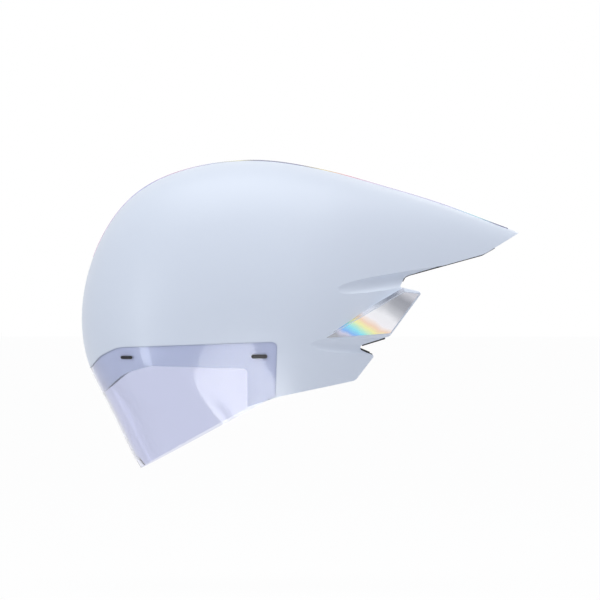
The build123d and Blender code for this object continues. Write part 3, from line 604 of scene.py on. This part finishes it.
def swell(piece):
    """Runs the cloth with pressure. Each vertex moves as it did, but never far or outwards."""
    cloth = piece.modifiers.new("cloth", "CLOTH")
    cloth.settings.use_pressure = True
    cloth.settings.uniform_pressure_force = PAD_PRESSURE
    cloth.settings.effector_weights.gravity = 0
    cloth.point_cache.frame_start = 1
    cloth.point_cache.frame_end = PAD_FRAMES
    for step in range(1, PAD_FRAMES + 1):
        scene.frame_set(step)
    graph = bpy.context.evaluated_depsgraph_get()
    swollen = [vertex.co.copy() for vertex in piece.evaluated_get(graph).data.vertices]
    piece.modifiers.clear()
    scene.frame_set(1)
    for vertex, target in zip(piece.data.vertices, swollen):
        move = target - vertex.co
        inward = to_head(vertex.co)
        move -= inward * min(0, move.dot(inward))
        if move.length > SWELL_LIMIT:
            move *= SWELL_LIMIT / move.length
        vertex.co += move


# %% Pressing the rim and the channels
RIM_WIDTH = 0.0030
RIM_PRESS = 0.0016
CROWN_WIDTH = 0.0080
CROWN_RISE = 0.0010
CHANNEL_WIDTH = 0.0011
CHANNEL_SINK = 0.0015
FACING_HEAD = 0.45


def smooth_share(value):
    """Eases a value between 0 and 1."""
    value = max(0.0, min(1.0, value))
    return value * value * (3 - 2 * value)


def press(piece, axis, channels):
    """Thins the rim, crowns the middle, and sinks channels at places along an axis."""
    mesh = bmesh.new()
    mesh.from_mesh(piece.data)
    mesh.normal_update()
    walls = [vert for vert in mesh.verts if abs(vert.normal.dot(to_head(vert.co))) < FACING_HEAD]
    wall_tree = KDTree(len(walls))
    for index, vert in enumerate(walls):
        wall_tree.insert(vert.co, index)
    wall_tree.balance()
    moves = []
    for vert in mesh.verts:
        inward = to_head(vert.co)
        if vert.normal.dot(inward) < FACING_HEAD:
            continue
        rim_distance = wall_tree.find(vert.co)[2]
        off_rim = smooth_share(rim_distance / RIM_WIDTH)
        rise = CROWN_RISE * smooth_share(rim_distance / CROWN_WIDTH) - RIM_PRESS * (1 - off_rim)
        for place in channels:
            offset = (vert.co[axis] - place) / CHANNEL_WIDTH
            rise -= CHANNEL_SINK * exp(-offset * offset) * off_rim
        moves.append((vert, inward * rise))
    for vert, move in moves:
        vert.co += move
    mesh.to_mesh(piece.data)
    mesh.free()


# %% Make the pads
# Piece, the node it stands for, its body, the axis across its channels and their places on it
PADS = (
    ("forehead_cushion", "forehead_pad", "helmet", 1, (-0.036, -0.018, 0, 0.018, 0.036)),
    ("crown_cushions", "crown_pads", "helmet", 0, (-0.028, 0, 0.028)),
    ("side_cushion_left", "side_pad_left", "helmet", 0, (-0.010, 0.018)),
    ("side_cushion_right", "side_pad_right", "helmet", 0, (-0.010, 0.018)),
    ("ear_cushion_left", "ear_pad_left", "helmet", 0, (0.053, 0.067)),
    ("ear_cushion_right", "ear_pad_right", "helmet", 0, (0.053, 0.067)),
    ("nape_cushions", "cradle_pads", "cradle_body", 1, (-0.027, 0.027)),
)
PAD_VOXEL = 0.0013
ROUNDING_PASSES = 4

for name, node, body, axis, channels in PADS:
    pad = new_piece(name, welded(node), pad_fabric)
    remesh = pad.modifiers.new("even_faces", "REMESH")
    remesh.mode = "VOXEL"
    remesh.voxel_size = PAD_VOXEL
    rounding = pad.modifiers.new("rounding", "SMOOTH")
    rounding.iterations = ROUNDING_PASSES
    apply_modifiers(pad)
    swell(pad)
    press(pad, axis, channels)
    pad.data.materials.clear()
    pad.data.materials.append(pad_fabric)
    pad.data.shade_smooth()
    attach(pad, body)
    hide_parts(node)
    print(name, len(pad.data.polygons), "faces")

# %% [markdown]
# ## Webbing
# The straps are woven polyester, flat and a little over a millimetre thick, with a herringbone on
# the face. A grid is the natural start for a ribbon: one direction runs along it and the other
# across. Rays then drop every vertex of the grid on the strap's own solid, and the grid gets its
# thickness. Its UV map is in metres, so the weave has one size on every strap. The right half of
# the chin strap carries the buckle's catch, so it bends with it. It also bows over the hanger
# strap of the cradle, which passes there when the cradle is raised.

# %% Webbing weave
HERRINGBONE_WIDTH = 0.0042
YARN_PITCH = 0.0013
YARN_SLANT = 3
YARN_HEIGHT = 0.0003
YARN_COLOURS = (
    (0.0, (0.006, 0.006, 0.007)),
    (0.6, (0.022, 0.022, 0.025)),
    (1.0, (0.045, 0.045, 0.050)),
)

webbing, tree, shader = finish_material(
    "webbing_herringbone", (0.02, 0.02, 0.022), roughness=0.75, Sheen_Weight=0.2
)
axes = separate(tree, coordinates(tree, kind="UV"))
column = maths(tree, "FRACT", maths(tree, "DIVIDE", axes["Y"], HERRINGBONE_WIDTH), 0)
chevron = maths(tree, "ABSOLUTE", maths(tree, "SUBTRACT", column, 0.5), 0)
turns = maths(tree, "DIVIDE", axes["X"], YARN_PITCH)
turns = maths(tree, "ADD", turns, maths(tree, "MULTIPLY", chevron, YARN_SLANT))
yarn = maths(tree, "SINE", maths(tree, "MULTIPLY", turns, 2 * pi), 0)
level = span(tree, yarn, -1, 1, 0, 1)
tree.links.new(ramp(tree, level, YARN_COLOURS), shader.inputs["Base Color"])
bump(tree, shader, level, YARN_HEIGHT, strength=0.7)

# %% Laying a ribbon on its solid
RAY_START = 0.2
RIBBON_THICKNESS = 0.0013
RIBBON_STEP = 0.003
RIBBON_COLUMNS = 6
FEWEST_STEPS = 4


def solid_tree(node):
    """A CAD node's surface, ready for rays."""
    data = nodes[node].data
    places = [vertex.co for vertex in data.vertices]
    return BVHTree.FromPolygons(places, [polygon.vertices for polygon in data.polygons])


def ribbon(name, node, length, width, aim):
    """A strap: aim(u, v) gives a ray's start and direction for shares along and across it."""
    solid = solid_tree(node)
    mesh = bmesh.new()
    steps = max(FEWEST_STEPS, round(length / RIBBON_STEP))
    bmesh.ops.create_grid(mesh, x_segments=steps, y_segments=RIBBON_COLUMNS, size=0.5)
    uv = mesh.loops.layers.uv.new("weave")
    for face in mesh.faces:
        for loop in face.loops:
            loop[uv].uv = (loop.vert.co.x * length, loop.vert.co.y * width)
    rays = [(vert, *aim(vert.co.x + 0.5, vert.co.y + 0.5)) for vert in mesh.verts]
    depths = [solid.ray_cast(start, direction)[3] for _, start, direction in rays]
    found = [depth for depth in depths if depth]
    usual = sum(found) / len(found)
    inner = bmesh.ops.extrude_face_region(mesh, geom=mesh.faces[:])["geom"]
    inner = [item for item in inner if isinstance(item, bmesh.types.BMVert)]
    rays += [(vert, *aim(vert.co.x + 0.5, vert.co.y + 0.5)) for vert in inner]
    steps_in = [0] * len(depths) + [RIBBON_THICKNESS] * len(inner)
    for (vert, start, direction), step_in in zip(rays, steps_in):
        depth = solid.ray_cast(start, direction)[3] or usual
        vert.co = start + direction * (depth + step_in)
    bmesh.ops.recalc_face_normals(mesh, faces=mesh.faces)
    piece = new_piece(name, mesh, webbing)
    piece.data.shade_smooth()
    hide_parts(node)
    print(name, round(length * 1000), "mm long")
    return piece


# %% The legs of the straps
SIDES = ((-1, "left"), (1, "right"))
DIVIDER_PLACE = Vector((0.028, 0, 0.022))
DIVIDER_REACH = 0.0125
LEG_WIDTH = 0.009
# Leg, its anchor, the end of the divider that it meets and how far below the middle
LEGS = (
    ("front", Vector((-0.024, 0, 0.014)), -1, 0.004),
    ("rear", Vector((0.064, 0, 0.008)), 1, 0.008),
)


def leg_aim(start, run, side):
    """Rays from the side for a strap that starts at a point and runs along a vector."""
    across = Vector((-run.z, 0, run.x)).normalized() * LEG_WIDTH

    def aim(u, v):
        place = start + run * u + across * (v - 0.5)
        return place + Vector((0, side * RAY_START, 0)), Vector((0, -side, 0))

    return aim


for side, side_name in SIDES:
    for leg, anchor, end, drop in LEGS:
        target = DIVIDER_PLACE - Vector((0, 0, drop))
        start = anchor - (target - anchor).normalized() * LEG_WIDTH / 2
        reach = DIVIDER_PLACE.x + end * DIVIDER_REACH
        run = (target - start) * (reach - start.x) / (target.x - start.x)
        aim = leg_aim(start, run, side)
        node = f"{leg}_strap_{side_name}"
        strap = ribbon(f"{leg}_leg_{side_name}", node, run.length, LEG_WIDTH, aim)
        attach(strap, "helmet")

# %% The chin strap, folded round the back of the head space
CHIN_WEBBING = (
    ("chin_webbing_right", "chin_strap_right"),
    ("chin_webbing_left", "chin_strap_left"),
)
CHIN_END_GAP = 0.004
CHIN_WIDTH = 0.0148
CHIN_Z = 0.026
BOW = Vector((-0.0065, 0, 0.0065))
BOW_REACH = 0.030


def chin_aim(first, last):
    """Rays towards the head's axis for a strap that runs round it between two angles."""

    def aim(u, v):
        angle = first + (last - first) * u
        outward = Vector((cos(angle), sin(angle), 0))
        height = CHIN_Z + (v - 0.5) * CHIN_WIDTH
        return outward * RAY_START + Vector((0, 0, height)), -outward

    return aim


for name, node in CHIN_WEBBING:
    places = [vertex.co for vertex in nodes[node].data.vertices]
    angles = [atan2(place.y, place.x) for place in places]
    radius = sum(place.xy.length for place in places) / len(places)
    first, last = min(angles) + CHIN_END_GAP, max(angles) - CHIN_END_GAP
    strap = ribbon(name, node, (last - first) * radius, CHIN_WIDTH, chin_aim(first, last))
    if name == "chin_webbing_right":
        for vertex in strap.data.vertices:
            vertex.co += BOW * smooth_share(1 - abs(vertex.co.y) / BOW_REACH)
        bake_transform(strap)
    else:
        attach(strap, "helmet")

# %% [markdown]
# ## Straps that bend with the fit system
# Two belts join the temples to the racks, and a short strap joins the runner to the cradle. They
# are supple, so they are cut from the solid model's own shapes, with extra rings of points that
# let them bend. One piece can bend across one joint only. A belt crosses three, so it is made in
# three lengths, and each meets the next on a body that both follow: the runner after the first
# length, and the cradle after the second.

# %% Belts and hanger
RING_STEP = 0.004
SHARP_ANGLE = radians(40)
BELT_RUN = Vector((0.889, -0.39, -0.238))
HANGER_RUN = Vector((-0.60, 0, -0.80))
# Part, its first and last shares of the belt, and the bodies at its two ends
BELT_PARTS = (
    ("front", (0.00, 0.55), "helmet", "runner"),
    ("middle", (0.55, 0.80), "runner", "cradle_body"),
    ("rear", (0.80, 1.00), "cradle_body", "{side}_rack"),
)


def slice_mesh(mesh, along, place, **clear):
    """Cuts a mesh square to a direction. Returns the edges of the cut."""
    cut = bmesh.ops.bisect_plane(
        mesh, geom=mesh.verts[:] + mesh.edges[:] + mesh.faces[:], dist=MERGE_DISTANCE,
        plane_co=along * place, plane_no=along, **clear,
    )["geom_cut"]
    return [item for item in cut if isinstance(item, bmesh.types.BMEdge)]


def bending(name, node, along, shares, body_a, body_b):
    """The length of a CAD solid between two shares along a direction, to bend between bodies."""
    mesh = welded(node)
    places = [along.dot(vert.co) for vert in mesh.verts]
    first, extent = min(places), max(places) - min(places)
    low, high = (first + extent * share for share in shares)
    bmesh.ops.holes_fill(mesh, edges=slice_mesh(mesh, along, low, clear_inner=True))
    bmesh.ops.holes_fill(mesh, edges=slice_mesh(mesh, along, high, clear_outer=True))
    for ring in range(1, int((high - low) / RING_STEP)):
        slice_mesh(mesh, along, low + ring * RING_STEP)
    piece = new_piece(name, mesh, nodes[node].data.materials[0])
    piece.data.set_sharp_from_angle(angle=SHARP_ANGLE)
    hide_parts(node)
    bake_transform(piece)
    print(name, "bends from", body_a, "to", body_b, len(piece.data.vertices), "points")


for side, side_name in SIDES:
    along = Vector((BELT_RUN.x, side * BELT_RUN.y, BELT_RUN.z)).normalized()
    for part, shares, body_a, body_b in BELT_PARTS:
        name, node = f"belt_{side_name}_{part}", f"side_belt_{side_name}"
        bending(name, node, along, shares, body_a, body_b.format(side=side_name))
bending("hanger_strap", "cradle_hanger", HANGER_RUN.normalized(), (0, 1), "runner", "cradle_body")

# %% [markdown]
# ## Edge trim
# A thin black rubber bead closes the shell's cut edge under the tail, under the fins and on top
# of the ear flaps. It is a fine round line that has to follow a curved wall exactly, so rays from
# the side find the wall at points along the edge, and a bevelled curve runs through them.

# %% Rubber of the trim
RUBBER_GRAIN_HEIGHT = 0.00003

trim_rubber, tree, shader = finish_material("trim_rubber", DEEP_BLACK, roughness=0.6)
where = coordinates(tree)
uneven_gloss(tree, shader, where, scale=300, low=0.5, high=0.7)
bump(tree, shader, noise(tree, where, scale=1800, detail=2), RUBBER_GRAIN_HEIGHT, strength=0.6)

# %% Trim bead
TRIM_RADIUS = 0.0008
TRIM_ROUNDNESS = 3
TRIM_ORDER = 3
TRIM_STEP = 0.002
TRIM_LIFTS = (0.0006, 0.0012, 0.0020, 0.0030)
WALL_HALF = 0.0011
TAIL_RUN = (
    (0.1395, 0.0390), (0.1415, 0.0425), (0.1450, 0.0442), (0.2090, 0.0618), (0.2200, 0.0680)
)
# Bead, the side of the edge that has the wall (1 for above) and its (x, z) points
TRIM_RUNS = (
    ("tail_trim", 1, TAIL_RUN),
    ("fin_trim", 1, ((0.1045, -0.0160), (0.1240, -0.0101))),
    ("flap_trim", -1, ((0.1035, -0.0200), (0.1130, -0.0240))),
)

shell_tree = solid_tree("outer_shell")


def wall_place(x, z, towards, side):
    """The middle of the shell's wall at a point of its edge, or None where rays miss it."""
    for lift in TRIM_LIFTS:
        start = Vector((x, side * RAY_START, z + towards * lift))
        hit = shell_tree.ray_cast(start, Vector((0, -side, 0)))[0]
        if hit:
            return Vector((x, hit.y - side * WALL_HALF, z))
    return None


def trim_bead(name, towards, run, side):
    """A round bead along one edge of the shell, on one side."""
    points = []
    for (x0, z0), (x1, z1) in zip(run, run[1:]):
        count = max(1, round(sqrt((x1 - x0) ** 2 + (z1 - z0) ** 2) / TRIM_STEP))
        points += [(x0 + (x1 - x0) * i / count, z0 + (z1 - z0) * i / count) for i in range(count)]
    points.append(run[-1])
    found = [wall_place(x, z, towards, side) for x, z in points]
    found = [place for place in found if place]
    curve = bpy.data.curves.new(name, "CURVE")
    curve.dimensions = "3D"
    curve.bevel_depth = TRIM_RADIUS
    curve.bevel_resolution = TRIM_ROUNDNESS
    curve.use_fill_caps = True
    spline = curve.splines.new("NURBS")
    spline.points.add(len(found) - 1)
    for point, place in zip(spline.points, found):
        point.co = (*place, 1)
    spline.order_u = TRIM_ORDER
    spline.use_endpoint_u = True
    source = bpy.data.objects.new(name + "_line", curve)
    data = bpy.data.meshes.new_from_object(source)
    data.name = name
    bpy.data.objects.remove(source)
    data.materials.clear()
    data.materials.append(trim_rubber)
    data.shade_smooth()
    piece = bpy.data.objects.new(name, data)
    scene.collection.objects.link(piece)
    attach(piece, "helmet")
    print(name, len(found), "points")


for side, side_name in SIDES:
    for trim_name, towards, run in TRIM_RUNS:
        trim_bead(f"{trim_name}_{side_name}", towards, run, side)

# %% [markdown]
# ## The floor
# The floor is a wide pale sheet. The visor comes off downwards, so the floor lies a little below
# the end of its travel. It is mostly white for the camera, so that it meets the white backdrop,
# and partly a plain matte surface, so that it keeps the helmet's shadow.

# %% Floor
FLOOR_SIZE = 60
FLOOR_WHITE_SHARE = 0.97
FLOOR_DROP = 0.105
FLOOR_COLOUR = (0.9, 0.9, 0.91)

floor_finish, tree, shader = finish_material("floor_white", FLOOR_COLOUR, roughness=0.8)
glow = tree.nodes.new("ShaderNodeEmission")
floor_mix = tree.nodes.new("ShaderNodeMixShader")
tree.links.new(maths(tree, "MULTIPLY", seen_directly(tree), FLOOR_WHITE_SHARE), floor_mix.inputs[0])
tree.links.new(shader.outputs[0], floor_mix.inputs[1])
tree.links.new(glow.outputs[0], floor_mix.inputs[2])
tree.links.new(floor_mix.outputs[0], tree.nodes["Material Output"].inputs["Surface"])
mesh = bmesh.new()
bmesh.ops.create_grid(mesh, x_segments=1, y_segments=1, size=FLOOR_SIZE / 2)
bmesh.ops.translate(mesh, verts=mesh.verts, vec=(0, 0, cad_low.z - FLOOR_DROP))
floor = new_piece("floor", mesh, floor_finish)
print("floor", FLOOR_DROP, "m below the helmet")
